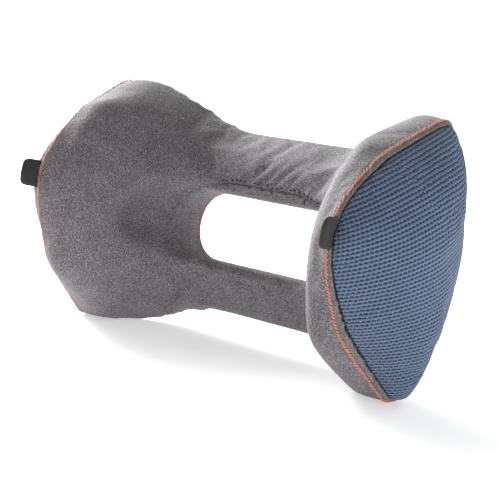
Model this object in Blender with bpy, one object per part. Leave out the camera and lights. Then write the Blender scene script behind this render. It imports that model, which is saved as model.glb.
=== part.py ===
"""Lumbar support cushion: a moulded foam core with two lobes and a slotted waist, inside a sewn cover.

The cushion is drawn upright: X runs from lobe to lobe, +Y points at the chair back and Z is up. The empty
called stance then leans it back onto the flats under its lobes, with the floor at z = 0.
"""

import math

import bmesh
import bpy
import numpy as np
from mathutils import Vector

# Overall form
SEAM_X = 0.187  # middle of the cushion to each end seam, at the front
END_DOME = 0.049  # how far an end panel domes out past its seam
DOME_MIDDLE = 0.22  # how far forward the dome's crown is, as a share of SEAM_REACH
DOME_FULL = 2.2
SEAM_SWEEP = 0.017  # how much further out the seam lies at its top and bottom than at its front
LOBE_HEIGHT = 0.253
SEAM_HEIGHT = 0.2555
WAIST_HEIGHT = 0.184
LOBE_REACH = 0.103  # lobe front to the line through its two rear corners
SEAM_REACH = 0.127
WAIST_THICK = 0.044
WAIST_SETBACK = 0.038  # how far the waist's flat back stands behind the lobes' rear corners
APEX_Z = 0.018  # height of the lobes' front edge above the middle
BACK_BULGE = 0.042  # how far a lobe's back bulges behind its rear corners
CREST = 0.80  # where the lobes are highest, as a share of SEAM_X
FLARE_START = 0.05
FLARE_POWER = 1.87
FLAT_BACK = 0.5  # the back is flat out to here, as a share of SEAM_X
LEAN = math.radians(14)
FOOT_PRESS = 0.0065  # how far the lobes' undersides are flattened

# How full and how round the lobe, seam and waist outlines are
LOBE_FULL, SEAM_FULL, WAIST_FULL = 0.032, 0.010, 0.012
LOBE_SLANT, SEAM_SLANT = -0.009, -0.0035
LOBE_ROUND = (0.081, 0.027, 0.043)  # at the front, the top and the foot
SEAM_ROUND = (0.093, 0.045, 0.038)
WAIST_ROUND = 0.65  # the waist's corners, as a share of the lobes'

# Slot through the waist
SLOT_HALF_LENGTH = 0.104
SLOT_HALF_HEIGHT = 0.031
SLOT_Z = -0.005
FRONT_MOUTH, REAR_MOUTH = 0.014, 0.008  # radii of the slot's rounded long edges
END_MOUTH = 0.032  # radius of the front mouth at the slot's two ends, where the lobes rise
FRONT_LEVELS = (1.0, 0.75, 0.5, 0.42, 0.26, 0.0)  # depths of the front mouth's rings, as shares of END_MOUTH
REAR_TURNS = (0, 30, 55, 80)  # how far round the rear edge its rings lie, in degrees
MOUTH_CUT = 0.98  # how much of a mouth's depth is cut
CUTTER_REACH = LOBE_REACH + 0.02  # past the front of the lobes and the back of the waist

# Cloth and clearances
COVER = 0.002
LINING = 0.0015
GAP = 0.0003
SEAM_GAP = 0.0004

# Thread and tabs
THREAD = 0.0006
STITCH_INSET = 0.0042
SLOT_STITCH_INSET = 0.0008
BACK_STITCH_HALF = 0.12
TAB_WIDTH, TAB_REACH, TAB_PLY, TAB_SLIT = 0.025, 0.0125, 0.0026, 0.0006
TAB_ANGLE = math.radians(20)  # from straight ahead, outwards
TAB_STANDOFF = 0.0010  # clears the seam's curve under the tab's corners

# Zip across the back, under the slot
ZIP_HALF = 0.090
TAPE = 0.0008
TAPE_DEPTH = 0.0006  # how far the tape lies under the back's surface
TAPE_SHOWS = 0.0030  # width of tape seen beside a coil
COIL_WIDTH, COIL_HEIGHT = 0.0028, 0.0016
COIL_PARTING = 0.0004
SLIDER_LENGTH, SLIDER_WALL, SLIDER_PLATE = 0.0100, 0.0009, 0.0012
SLIDER_CLEARANCE = 0.0004
CROWN_LENGTH, CROWN_HEIGHT, CROWN_WALL = 0.0050, 0.0030, 0.0010
CROWN_WIDTH = 0.0014
PULL_RISE = (CROWN_HEIGHT - CROWN_WALL) / 2  # the pull's axis above the slider
PULL_LENGTH, PULL_WIDTH, PULL_THICK = 0.024, 0.0056, 0.0012
STOP_LENGTH = 0.0022
WINDOW_MARGIN = 0.0035  # tape seen past a stop
SLOT_TO_ZIP = 0.005  # cloth between the slot's rounded edge and the zip's window
METAL_BEVEL, PULL_BEVEL, COIL_BEVEL = 0.0004, 0.0003, 0.0005
WINDOW_HALF = ZIP_HALF + GAP + STOP_LENGTH + WINDOW_MARGIN
WINDOW_HEIGHT = 2 * (COIL_WIDTH + TAPE_SHOWS) + COIL_PARTING
ZIP_Z = SLOT_Z - SLOT_HALF_HEIGHT - REAR_MOUTH - SLOT_TO_ZIP - WINDOW_HEIGHT / 2
SLIDER_REACH = COIL_PARTING / 2 + COIL_WIDTH + SLIDER_CLEARANCE  # zip's middle to the channel's wall

# Mesh density
SPAN_SAMPLES = 3  # points in each span between two control points of an outline
STITCH_SHARE = 1 - STITCH_INSET / SEAM_X
FLANK = (0.0, 0.16, 0.31, 0.44, 0.55, 0.65, 0.74, 0.82, 0.90, STITCH_SHARE, 1.0)
DOME_RINGS = 4
LAST_RING = 0.6  # from the last ring to the crown, in rings
THREAD_SIDES = 5
BAR_SIDES = 32
TAB_STEPS, FOLD_STEPS = 6, 6
TAB_SPAN = 1.5  # how far along the seam a tab's edge may be, in outline positions
TAB_SAMPLES = 40  # outline positions tried, to each one
BACK_SEAM = 4 * SPAN_SAMPLES + 2  # column of the upper rear seam, just behind the top corner

GREY = (0.23, 0.21, 0.225)
BLUE = (0.065, 0.11, 0.24)
ORANGE = (0.75, 0.20, 0.10)
BLACK = (0.012, 0.012, 0.013)


# ---- the cushion's form ----

def ease(value, start, end):
    t = np.clip((value - start) / (end - start), 0, 1)
    return 0.5 - 0.5 * np.cos(np.pi * t)


def unit(vector):
    return vector / np.linalg.norm(vector)


def control_points(u):
    """The twelve control points of the outline at u, a share of SEAM_X, as (y, z) pairs.

    They start at the front edge and run over the top corner, down the back and home under the bottom corner.
    """
    flare = ease(u ** FLARE_POWER, FLARE_START, CREST)
    past_crest = np.clip((u - CREST) / (1 - CREST), 0, 1) ** 2
    sweep = ease(u, FLAT_BACK, 1.0)

    def blended(waist, lobe, seam):
        return waist + (lobe - waist) * flare + (seam - lobe) * past_crest

    half = blended(WAIST_HEIGHT, LOBE_HEIGHT, SEAM_HEIGHT) / 2
    back_y = WAIST_SETBACK * (1 - sweep)
    front_y = -blended(WAIST_THICK - WAIST_SETBACK, LOBE_REACH, SEAM_REACH)
    full = blended(WAIST_FULL, LOBE_FULL, SEAM_FULL)
    slant = blended(0.0, LOBE_SLANT, SEAM_SLANT)
    roundness = WAIST_ROUND + (1 - WAIST_ROUND) * flare
    at_front, at_top, at_foot = (
        lobe * roundness + (seam - lobe) * past_crest for lobe, seam in zip(LOBE_ROUND, SEAM_ROUND)
    )
    apex = np.array([front_y, APEX_Z])
    top = np.array([back_y, half])
    foot = np.array([back_y, -half])
    rise = unit(top - apex)
    drop = unit(foot - apex)
    over = (apex + top) / 2 + (full + slant) * np.array([-rise[1], rise[0]])
    under = (apex + foot) / 2 + (full - slant) * np.array([drop[1], -drop[0]])
    behind = (top + foot) / 2 + np.array([BACK_BULGE * sweep, 0])

    def towards(corner, target, distance):
        return corner + distance * unit(target - corner)

    return np.array([
        apex,
        towards(apex, over, at_front),
        over,
        towards(top, over, at_top),
        top,
        towards(top, behind, at_top),
        behind,
        towards(foot, behind, at_foot),
        foot,
        towards(foot, under, at_foot),
        under,
        towards(apex, under, at_front),
    ])


def on_spline(points, v):
    """The point at v on the closed cubic B-spline through the control points."""
    i = math.floor(v)
    t = v - i
    weights = ((1 - t) ** 3, 3 * t ** 3 - 6 * t ** 2 + 4, -3 * t ** 3 + 3 * t ** 2 + 3 * t + 1, t ** 3)
    return sum(w * points[(i + k - 1) % len(points)] for k, w in enumerate(weights)) / 6


def surface_point(x_share, v):
    """A point of the flank: x_share is -1 to 1 between the end seams, v the place round the outline."""
    u = abs(x_share)
    y, z = on_spline(control_points(u), v)
    out = SEAM_SWEEP * u ** 4 * (z / (LOBE_HEIGHT / 2)) ** 2
    return np.array([math.copysign(u * SEAM_X + out, x_share), y, z])


AROUND = [k / SPAN_SAMPLES for k in range(12 * SPAN_SAMPLES)]
STATIONS = [-u for u in FLANK[:0:-1]] + list(FLANK)


def dome_rings(side):
    """Rings from just past the end seam to just before the dome's crown."""
    rim = np.array([surface_point(side, v) for v in AROUND])
    centre = np.array([rim[:, 0].mean(), -DOME_MIDDLE * SEAM_REACH, APEX_Z / 2])
    rings = []
    for k in range(1, DOME_RINGS + 1):
        share = math.cos(k / (DOME_RINGS + LAST_RING) * math.pi / 2)
        ring = centre + (rim - centre) * share
        ring[:, 0] += side * END_DOME * (1 - share ** DOME_FULL)
        rings.append(ring)
    return rings, centre + np.array([side * END_DOME, 0, 0])


def body_grid():
    """Rings of points over the whole cushion, from the left dome's crown to the right one's, and both crowns."""
    left, left_crown = dome_rings(-1)
    right, right_crown = dome_rings(1)
    flank = [np.array([surface_point(s, v) for v in AROUND]) for s in STATIONS]
    return np.array(left[::-1] + flank + right), left_crown, right_crown


UP = np.array([0, -math.sin(LEAN), math.cos(LEAN)])  # the world's up, seen from the upright cushion
RINGS, LEFT_CROWN, RIGHT_CROWN = body_grid()
FLOOR = (RINGS @ UP).min() + FOOT_PRESS


def normals_of(rings, left_crown, right_crown):
    around = np.roll(rings, -1, axis=1) - np.roll(rings, 1, axis=1)
    n = rings.shape[1]
    ends = np.concatenate([[np.tile(left_crown, (n, 1))], rings, [np.tile(right_crown, (n, 1))]])
    along = ends[2:] - ends[:-2]
    normal = np.cross(around, along)
    normal /= np.linalg.norm(normal, axis=2, keepdims=True)
    outward = np.sum(normal * (rings - rings.mean(axis=(0, 1))), axis=2).mean()
    return normal if outward > 0 else -normal


NORMALS = normals_of(RINGS, LEFT_CROWN, RIGHT_CROWN)


def settled(points, depth):
    """Points pressed flat where they would be lower than depth above the floor."""
    low = np.maximum(FLOOR + depth - points @ UP, 0)
    return points + low[..., None] * UP


def skin(depth):
    """The body's rings and crowns at a depth under the cushion's surface."""
    crown = np.array([depth, 0, 0])
    return settled(RINGS - depth * NORMALS, depth), LEFT_CROWN + crown, RIGHT_CROWN - crown


# ---- meshes ----

def material(name, color, roughness, metallic=0.0):
    made = bpy.data.materials.new(name)
    made.use_nodes = True
    shader = made.node_tree.nodes["Principled BSDF"]
    shader.inputs["Base Color"].default_value = (*color, 1)
    shader.inputs["Roughness"].default_value = roughness
    shader.inputs["Metallic"].default_value = metallic
    made.diffuse_color = (*color, 1)
    return made


def finished(name, bm, look, smooth=True):
    """A linked object from a bmesh, its faces turned outwards, standing on the stance empty."""
    bmesh.ops.recalc_face_normals(bm, faces=bm.faces)
    mesh = bpy.data.meshes.new(name)
    bm.to_mesh(mesh)
    bm.free()
    mesh.materials.append(look)
    if smooth:
        mesh.shade_smooth()
        mesh.set_sharp_from_angle(angle=math.radians(40))
    made = bpy.data.objects.new(name, mesh)
    bpy.context.collection.objects.link(made)
    made.parent = STANCE
    return made


def add_grid(bm, points, closed):
    """Vertices for a grid of points and the triangles between them; closed joins the last column to the first.

    Every layer of the body has its diagonals the same way round, so that nested layers never touch.
    """
    rows = [[bm.verts.new(p) for p in row] for row in points]
    columns = len(rows[0]) if closed else len(rows[0]) - 1
    for a, b in zip(rows, rows[1:]):
        for j in range(columns):
            k = (j + 1) % len(a)
            bm.faces.new((a[j], a[k], b[k]))
            bm.faces.new((a[j], b[k], b[j]))
    return rows


def add_fan(bm, ring, point):
    centre = bm.verts.new(point)
    for a, b in zip(ring, ring[1:] + ring[:1]):
        bm.faces.new((a, b, centre))


def add_strip(bm, first, second):
    for a, b, c, d in zip(first, first[1:], second[1:], second):
        bm.faces.new((a, b, c, d))


def pulled_in(points, rows, columns):
    """The grid with its named borders moved inwards by half a seam gap."""
    moved = points.copy()

    def pull(edge, inner):
        step = inner - edge
        return edge + step * (SEAM_GAP / 2 / np.linalg.norm(step, axis=-1, keepdims=True))

    for i, inner in rows:
        moved[i] = pull(moved[i], moved[inner])
    for j, inner in columns:
        moved[:, j] = pull(moved[:, j], moved[:, inner])
    return moved


def sheet_panel(name, columns, look):
    """A cloth panel between the end seams, over the outline positions in columns."""
    bm = bmesh.new()
    layers = []
    for depth in (0, COVER):
        rings, _, _ = skin(depth)
        flank = rings[DOME_RINGS:-DOME_RINGS][:, columns]
        flank = pulled_in(flank, ((0, 1), (-1, -2)), ((0, 1), (-1, -2)))
        layers.append(add_grid(bm, flank, closed=False))
    outer, inner = layers
    add_strip(bm, outer[0], inner[0])
    add_strip(bm, outer[-1], inner[-1])
    for j in (0, -1):
        add_strip(bm, [row[j] for row in outer], [row[j] for row in inner])
    return finished(name, bm, look)


def end_panel(name, side, look):
    """A domed mesh panel from the end seam outwards."""
    bm = bmesh.new()
    layers = []
    for depth in (0, COVER):
        rings, left_crown, right_crown = skin(depth)
        if side > 0:
            rows = add_grid(bm, pulled_in(rings[-DOME_RINGS - 1:], ((0, 1),), ()), closed=True)
            add_fan(bm, rows[-1], right_crown)
            layers.append(rows[0])
        else:
            rows = add_grid(bm, pulled_in(rings[:DOME_RINGS + 1], ((-1, -2),), ()), closed=True)
            add_fan(bm, rows[0], left_crown)
            layers.append(rows[-1])
    outer, inner = layers
    add_strip(bm, outer + outer[:1], inner + inner[:1])
    return finished(name, bm, look)


def whole_body(name, depth, look):
    bm = bmesh.new()
    rings, left_crown, right_crown = skin(depth)
    rows = add_grid(bm, rings, closed=True)
    add_fan(bm, rows[0], left_crown)
    add_fan(bm, rows[-1], right_crown)
    return finished(name, bm, look)


# ---- the slot ----

def racetrack(grow, end_grow=0.0, arc_points=9):
    """The slot's outline, grown by a distance and stretched at its ends by another, as (x, z) pairs."""
    radius = SLOT_HALF_HEIGHT + grow
    reach = SLOT_HALF_HEIGHT + grow + end_grow
    straight = SLOT_HALF_LENGTH - SLOT_HALF_HEIGHT
    points = []
    for side, start in ((1, -math.pi / 2), (-1, math.pi / 2)):
        for k in range(arc_points):
            angle = start + math.pi * k / (arc_points - 1)
            points.append((side * straight + reach * math.cos(angle), SLOT_Z + radius * math.sin(angle)))
    return points


def mouth(depth, radius):
    """How much wider a mouth with a round edge is at a depth past where its rounding starts."""
    inside = min(depth, radius * MOUTH_CUT)
    return radius - math.sqrt(radius ** 2 - inside ** 2)


def slot_levels():
    """The slot's depths, and how much wider and longer it is there: straight inside, round at both edges."""
    rounding_starts = WAIST_SETBACK - WAIST_THICK + FRONT_MOUTH
    levels = []
    for share in FRONT_LEVELS:
        depth = share * END_MOUTH
        wider = mouth(depth, FRONT_MOUTH)
        levels.append((rounding_starts - depth, wider, mouth(depth, END_MOUTH) - wider))
    for turn in map(math.radians, REAR_TURNS):
        levels.append((WAIST_SETBACK - REAR_MOUTH * (1 - math.sin(turn)), REAR_MOUTH * (1 - math.cos(turn)), 0.0))
    return [(-CUTTER_REACH, *levels[0][1:])] + levels + [(CUTTER_REACH, *levels[-1][1:])]


def slot_solid(name, grow):
    bm = bmesh.new()
    rings = [[(x, y, z) for x, z in racetrack(grow + wider, longer)] for y, wider, longer in slot_levels()]
    rows = add_grid(bm, rings, closed=True)
    bm.faces.new(rows[0])
    bm.faces.new(rows[-1])
    return finished(name, bm, material(name, GREY, 0.9))


def cutter(made):
    made.hide_render = True
    made.display_type = "WIRE"
    return made


def cut(target, tool, operation="DIFFERENCE"):
    modifier = target.modifiers.new(f"{operation.lower()}_{tool.name}", "BOOLEAN")
    modifier.operation = operation
    modifier.solver = "EXACT"
    modifier.object = tool


# ---- thread, tabs and zip ----

def sections_along(path, side_of, radius):
    """Rings of a tube along a path, each square to it."""
    rings = []
    for k, point in enumerate(path):
        before = path[max(k - 1, 0)]
        after = path[min(k + 1, len(path) - 1)]
        tangent = unit(after - before)
        across = unit(side_of[k] - tangent * np.dot(side_of[k], tangent))
        other = np.cross(tangent, across)
        angles = [2 * math.pi * j / THREAD_SIDES for j in range(THREAD_SIDES)]
        rings.append([point + radius * (math.cos(a) * across + math.sin(a) * other) for a in angles])
    return rings


def thread(name, path, outward, look):
    """A round thread lying a clearance above the points of a path, on the side that outward gives."""
    lifted = [p + (THREAD + 2 * GAP) * n for p, n in zip(path, outward)]
    bm = bmesh.new()
    rows = add_grid(bm, sections_along(lifted, outward, THREAD), closed=True)
    bm.faces.new(rows[0])
    bm.faces.new(rows[-1])
    return finished(name, bm, look)


def end_topstitch(name, share, look):
    """Thread beside the end seam, from one rear seam over the front to the other, stopping clear of the floor."""
    ring = DOME_RINGS + STATIONS.index(share)
    columns = [j for j in range(1 - BACK_SEAM, BACK_SEAM) if RINGS[ring, j] @ UP > FLOOR + 4 * THREAD]
    return thread(name, RINGS[ring, columns], NORMALS[ring, columns], look)


def back_topstitch(name, column, look):
    """Thread along a rear seam, across the waist."""
    rings = [DOME_RINGS + k for k, share in enumerate(STATIONS) if abs(share) * SEAM_X <= BACK_STITCH_HALF]
    return thread(name, RINGS[rings, column], NORMALS[rings, column], look)


def slot_topstitch(look):
    """A closed ring of thread on the lining, just inside the slot's rear edge."""
    level = WAIST_SETBACK - REAR_MOUTH - SLOT_STITCH_INSET
    inset = -(THREAD + 2 * GAP)
    outline = racetrack(inset, arc_points=8)
    rings = []
    for k in range(len(outline)):
        before, after = outline[k - 1], outline[(k + 1) % len(outline)]
        tangent = unit(np.array([after[0] - before[0], 0, after[1] - before[1]]))
        across = np.cross(tangent, np.array([0, 1, 0]))
        middle = np.array([outline[k][0], level, outline[k][1]])
        ring = []
        for j in range(THREAD_SIDES):
            angle = 2 * math.pi * j / THREAD_SIDES
            ring.append(middle + THREAD * (math.cos(angle) * across + math.sin(angle) * np.array([0, 1, 0])))
        rings.append(ring)
    bm = bmesh.new()
    rows = add_grid(bm, rings + rings[:1], closed=True)
    for first, last in zip(rows[0], rows[-1]):
        bmesh.ops.pointmerge(bm, verts=[first, last], merge_co=first.co)
    return finished("slot_topstitch", bm, look)


def side_tab(name, side, look):
    """Webbing folded in a hairpin, following the end seam's curve at the front of the lobe."""
    out = np.array([side * math.sin(TAB_ANGLE), -math.cos(TAB_ANGLE), 0])
    across = np.array([side * math.cos(TAB_ANGLE), math.sin(TAB_ANGLE), 0])
    thick = TAB_PLY + TAB_SLIT / 2
    fold = TAB_REACH - thick
    turns = [math.pi * k / FOLD_STEPS for k in range(FOLD_STEPS + 1)]
    bend = [(fold + thick * math.sin(turn), thick * math.cos(turn)) for turn in turns]
    slit = [(fold, -TAB_SLIT / 2), (fold, TAB_SLIT / 2)]
    profile = [(0, TAB_SLIT / 2), (0, thick)] + bend + [(0, -thick), (0, -TAB_SLIT / 2)] + slit
    steps = int(TAB_SPAN * TAB_SAMPLES)
    seam = [surface_point(side, k / TAB_SAMPLES) for k in range(-steps, steps + 1)]
    middle = min(seam, key=lambda point: point[1])
    rows = []
    for k in range(TAB_STEPS + 1):
        z = middle[2] + TAB_WIDTH * (k / TAB_STEPS - 0.5)
        root = min(seam, key=lambda point: abs(point[2] - z))
        root = np.array([root[0], root[1], z]) + out * TAB_STANDOFF
        rows.append([root + out * along + across * aside for along, aside in profile])
    bm = bmesh.new()
    grid = add_grid(bm, rows, closed=True)
    bm.faces.new(grid[0])
    bm.faces.new(grid[-1])
    return finished(name, bm, look)


def block(name, low, high, look, bevel=0.0):
    """A box between two corners, its edges rounded by bevel."""
    bm = bmesh.new()
    bmesh.ops.create_cube(bm, size=1)
    low, high = Vector(low), Vector(high)
    for vert in bm.verts:
        vert.co = Vector(low[i] + (vert.co[i] + 0.5) * (high[i] - low[i]) for i in range(3))
    if bevel:
        bmesh.ops.bevel(bm, geom=bm.edges[:], offset=bevel, segments=2, affect="EDGES", profile=0.5)
    return finished(name, bm, look)


def round_bar(name, radius, half_length, look):
    """A cylinder along Z about the origin."""
    bm = bmesh.new()
    bmesh.ops.create_cone(bm, cap_ends=True, segments=BAR_SIDES, radius1=radius, radius2=radius,
                          depth=2 * half_length)
    return finished(name, bm, look)


def zip_tape(name, side, look):
    """One half of the tape, in the window of the back panel, up to the parting between the coils."""
    near = ZIP_Z + side * COIL_PARTING / 2
    far = ZIP_Z + side * (WINDOW_HEIGHT / 2 - GAP)
    outer = WAIST_SETBACK - TAPE_DEPTH
    end = WINDOW_HALF - GAP
    return block(name, (-end, outer - TAPE, min(near, far)), (end, outer, max(near, far)), look)


def coil_levels():
    inner = WAIST_SETBACK - TAPE_DEPTH + GAP
    return inner, inner + COIL_HEIGHT


def zip_coil(name, side, look):
    near = ZIP_Z + side * COIL_PARTING / 2
    far = near + side * COIL_WIDTH
    inner, outer = coil_levels()
    low, high = (-ZIP_HALF, inner, min(near, far)), (ZIP_HALF, outer, max(near, far))
    return block(name, low, high, look, bevel=COIL_BEVEL)


def slider_levels():
    _, coil_outer = coil_levels()
    under = coil_outer + SLIDER_CLEARANCE
    return under, under + SLIDER_PLATE


SLIDER_X = ZIP_HALF - SLIDER_LENGTH / 2 - STOP_LENGTH


def zip_slider(look):
    """A channel that rides over both coils, with a crown on top for the pull."""
    under, top = slider_levels()
    rim, _ = coil_levels()
    half_length = SLIDER_LENGTH / 2
    half_width = SLIDER_REACH + SLIDER_WALL
    low = (SLIDER_X - half_length, rim, ZIP_Z - half_width)
    high = (SLIDER_X + half_length, top, ZIP_Z + half_width)
    body = block("zip_slider", low, high, look, bevel=METAL_BEVEL)
    channel_low = (SLIDER_X - SLIDER_LENGTH, rim - SLIDER_PLATE, ZIP_Z - SLIDER_REACH)
    channel_high = (SLIDER_X + SLIDER_LENGTH, under, ZIP_Z + SLIDER_REACH)
    cut(body, cutter(block("slider_channel", channel_low, channel_high, look)))
    half_crown = CROWN_LENGTH / 2
    crown_low = (SLIDER_X - half_crown, top - METAL_BEVEL, ZIP_Z - CROWN_WIDTH / 2)
    crown_high = (SLIDER_X + half_crown, top + CROWN_HEIGHT, ZIP_Z + CROWN_WIDTH / 2)
    cut(body, cutter(block("slider_crown", crown_low, crown_high, look, bevel=METAL_BEVEL)), "UNION")
    eye = half_crown - CROWN_WALL
    eye_low = (SLIDER_X - eye, top, ZIP_Z - CROWN_WIDTH)
    eye_high = (SLIDER_X + eye, top + CROWN_HEIGHT - CROWN_WALL, ZIP_Z + CROWN_WIDTH)
    cut(body, cutter(block("crown_eye", eye_low, eye_high, look)))
    return body


def pull_axis():
    _, top = slider_levels()
    return SLIDER_X, top + PULL_RISE, ZIP_Z


def zip_pull(look):
    """A flat tab with a round bar that turns in the slider's crown. Its origin is on the bar's axis."""
    half_width = PULL_WIDTH / 2
    half_thick = PULL_THICK / 2
    low = (-PULL_LENGTH, -half_thick, -half_width)
    body = block("zip_pull", low, (0, half_thick, half_width), look, bevel=PULL_BEVEL)
    cheek = CROWN_WIDTH / 2 + SLIDER_CLEARANCE
    over_crown = CROWN_HEIGHT - PULL_RISE
    behind = math.hypot(CROWN_LENGTH / 2, over_crown) + SLIDER_CLEARANCE
    opening = block("pull_opening", (-behind, -PULL_THICK, -cheek), (PULL_THICK, PULL_THICK, cheek), look)
    bar = round_bar("pull_bar", half_thick, half_width, look)
    for tool, operation in ((opening, "DIFFERENCE"), (bar, "UNION")):
        tool.parent = body
        cut(body, cutter(tool), operation)
    body.location = pull_axis()
    return body


def zip_stop(name, side, look):
    inner, outer = coil_levels()
    start = side * (ZIP_HALF + GAP)
    end = start + side * STOP_LENGTH
    half = COIL_PARTING / 2 + COIL_WIDTH
    low = (min(start, end), inner, ZIP_Z - half)
    high = (max(start, end), outer, ZIP_Z + half)
    return block(name, low, high, look, bevel=METAL_BEVEL)


def build_cover(knit, mesh_cloth, thread_look, webbing):
    turn = len(AROUND)
    front = sheet_panel("front_cover", [j % turn for j in range(-BACK_SEAM, BACK_SEAM + 1)], knit)
    back = sheet_panel("back_panel", list(range(BACK_SEAM, turn - BACK_SEAM + 1)), mesh_cloth)
    end_panel("left_end_panel", -1, mesh_cloth)
    end_panel("right_end_panel", 1, mesh_cloth)
    tunnel = cutter(slot_solid("tunnel_with_lining", LINING + GAP))
    cut(front, tunnel)
    cut(back, tunnel)
    through = 2 * COVER
    window_low = (-WINDOW_HALF, WAIST_SETBACK - through, ZIP_Z - WINDOW_HEIGHT / 2)
    window_high = (WINDOW_HALF, WAIST_SETBACK + through, ZIP_Z + WINDOW_HEIGHT / 2)
    cut(back, cutter(block("zip_window", window_low, window_high, mesh_cloth)))
    lining = slot_solid("slot_lining", LINING)
    lining.data.materials[0] = knit
    cut(lining, cutter(whole_body("outer_form", 0, knit)), "INTERSECT")
    cut(lining, cutter(slot_solid("tunnel", 0)))
    end_topstitch("left_topstitch", -STITCH_SHARE, thread_look)
    end_topstitch("right_topstitch", STITCH_SHARE, thread_look)
    back_topstitch("upper_back_topstitch", BACK_SEAM - 1, thread_look)
    back_topstitch("lower_back_topstitch", 1 - BACK_SEAM, thread_look)
    slot_topstitch(thread_look)
    side_tab("left_tab", -1, webbing)
    side_tab("right_tab", 1, webbing)
    return tunnel


def build_foam(tunnel):
    foam = whole_body("foam_core", COVER + GAP, material("memory_foam", (0.80, 0.76, 0.62), 0.9))
    cut(foam, tunnel)


def build_zip():
    tape_look = material("zip_tape", BLACK, 0.85)
    coil_look = material("zip_coil", (0.02, 0.02, 0.022), 0.45)
    metal = material("zip_metal", (0.10, 0.10, 0.11), 0.35, 0.9)
    for name, side in (("upper", 1), ("lower", -1)):
        zip_tape(f"{name}_zip_tape", side, tape_look)
        zip_coil(f"{name}_zip_coil", side, coil_look)
    zip_slider(metal)
    zip_pull(metal)
    zip_stop("zip_closed_stop", 1, metal)
    zip_stop("zip_open_stop", -1, metal)


def centre_over_origin():
    """Slides the stance along Y until the whole cushion is centred on the origin."""
    bpy.context.view_layer.update()
    depsgraph = bpy.context.evaluated_depsgraph_get()
    reach = []
    for made in bpy.data.objects:
        if made.type == "MESH" and not made.hide_render:
            solid = made.evaluated_get(depsgraph)
            reach += [(solid.matrix_world @ vert.co).y for vert in solid.data.vertices]
    STANCE.location.y -= (min(reach) + max(reach)) / 2


for leftover in list(bpy.data.objects):
    bpy.data.objects.remove(leftover, do_unlink=True)

STANCE = bpy.data.objects.new("stance", None)
bpy.context.collection.objects.link(STANCE)
STANCE.rotation_euler = (-LEAN, 0, 0)
STANCE.location.z = -FLOOR

KNIT = material("grey_knit", GREY, 0.95)
AIR_MESH = material("blue_mesh", BLUE, 0.85)
THREAD_LOOK = material("orange_thread", ORANGE, 0.7)
WEBBING = material("black_webbing", BLACK, 0.8)
build_foam(build_cover(KNIT, AIR_MESH, THREAD_LOOK, WEBBING))
build_zip()
centre_over_origin()
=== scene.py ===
"""A lumbar support cushion: knit cover, spacer-mesh ends and back, stitching, webbing tabs and a zip.

The cover is one padded skin over moulded foam. It is drawn upright, puffed by a cloth simulation, cut
into its panels along the real seams and then leaned back onto the floor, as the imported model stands.
"""

import math

import bmesh
import bpy
import numpy as np
from mathutils import Matrix, Vector
from mathutils.bvhtree import BVHTree
from mathutils.kdtree import KDTree


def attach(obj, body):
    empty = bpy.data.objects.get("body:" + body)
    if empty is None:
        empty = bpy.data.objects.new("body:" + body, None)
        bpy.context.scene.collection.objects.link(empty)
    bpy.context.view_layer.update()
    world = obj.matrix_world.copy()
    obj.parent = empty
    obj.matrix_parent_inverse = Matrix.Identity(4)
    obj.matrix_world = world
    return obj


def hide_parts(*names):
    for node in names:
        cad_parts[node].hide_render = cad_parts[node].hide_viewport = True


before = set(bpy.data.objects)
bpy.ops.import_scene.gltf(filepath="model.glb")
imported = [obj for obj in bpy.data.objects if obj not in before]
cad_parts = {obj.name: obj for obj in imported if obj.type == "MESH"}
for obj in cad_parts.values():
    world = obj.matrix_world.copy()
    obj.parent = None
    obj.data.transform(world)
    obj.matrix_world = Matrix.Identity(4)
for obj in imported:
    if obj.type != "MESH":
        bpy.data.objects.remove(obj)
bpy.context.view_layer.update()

# Form of the cushion, upright: X from lobe to lobe, +Y towards the chair back, Z up
SEAM_X = 0.187
SEAM_SWEEP = 0.017  # how much further out the end seams are at the top and the foot
END_DOME, DOME_MIDDLE, DOME_FULL = 0.049, 0.22, 2.2
LOBE_HEIGHT, SEAM_HEIGHT, WAIST_HEIGHT = 0.253, 0.2555, 0.184
LOBE_REACH, SEAM_REACH, WAIST_THICK = 0.103, 0.127, 0.044
LOBE_FULL, SEAM_FULL, WAIST_FULL = 0.032, 0.010, 0.012
LOBE_SLANT, SEAM_SLANT = -0.009, -0.0035
LOBE_ROUND = (0.081, 0.027, 0.043)  # at the front, the top and the foot
SEAM_ROUND = (0.093, 0.045, 0.038)
WAIST_ROUND = 0.65  # of a lobe's
WAIST_SETBACK = 0.038
APEX_Z = 0.018  # height of the front edge
CREST = 0.80  # where a lobe is highest, as a share of SEAM_X
FLARE_START, FLARE_POWER = 0.05, 1.87
FLAT_BACK, BACK_BULGE = 0.5, 0.042  # the back is flat up to this share of SEAM_X, and bulges beyond it
CONTROLS = 12  # points that shape one outline
LEAN = math.radians(14)
FOOT_PRESS = 0.0065
FLOOR_GAP = 0.0002

# Slot through the waist
SLOT_HALF_LENGTH, SLOT_HALF_HEIGHT, SLOT_Z = 0.104, 0.031, -0.005
FRONT_MOUTH, REAR_MOUTH, END_MOUTH = 0.014, 0.008, 0.032  # radii of its edges
CUTTER_REACH = 0.13
SLOT_STITCH_Y = 0.0305

# Slot lining and the cloth gathered above it
LINING_TOP, LINING_LOW = 0.0105, 0.003  # its edge past the slot's wall, over the front's middle and elsewhere
LINING_TAPER = (0.035, 0.085)  # from x to x, between those two
LINING_GROOVE, REAR_LINING_GROOVE = (0.0016, 0.0026), (0.0010, 0.0016)  # a groove's depth and width
BUTT_X = 0.052  # where the lining's two ends are joined, on the slot's upper wall
BUTT_GROOVE = (0.0012, 0.0020)
PUCKERS = (  # each one's place and depth
    (-0.022, 0.0013), (-0.006, 0.0020), (0.008, 0.0021), (0.024, 0.0014), (0.044, 0.0009),
)
PUCKER_WIDTH, PUCKER_SLANT = 0.0032, 0.8

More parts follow.
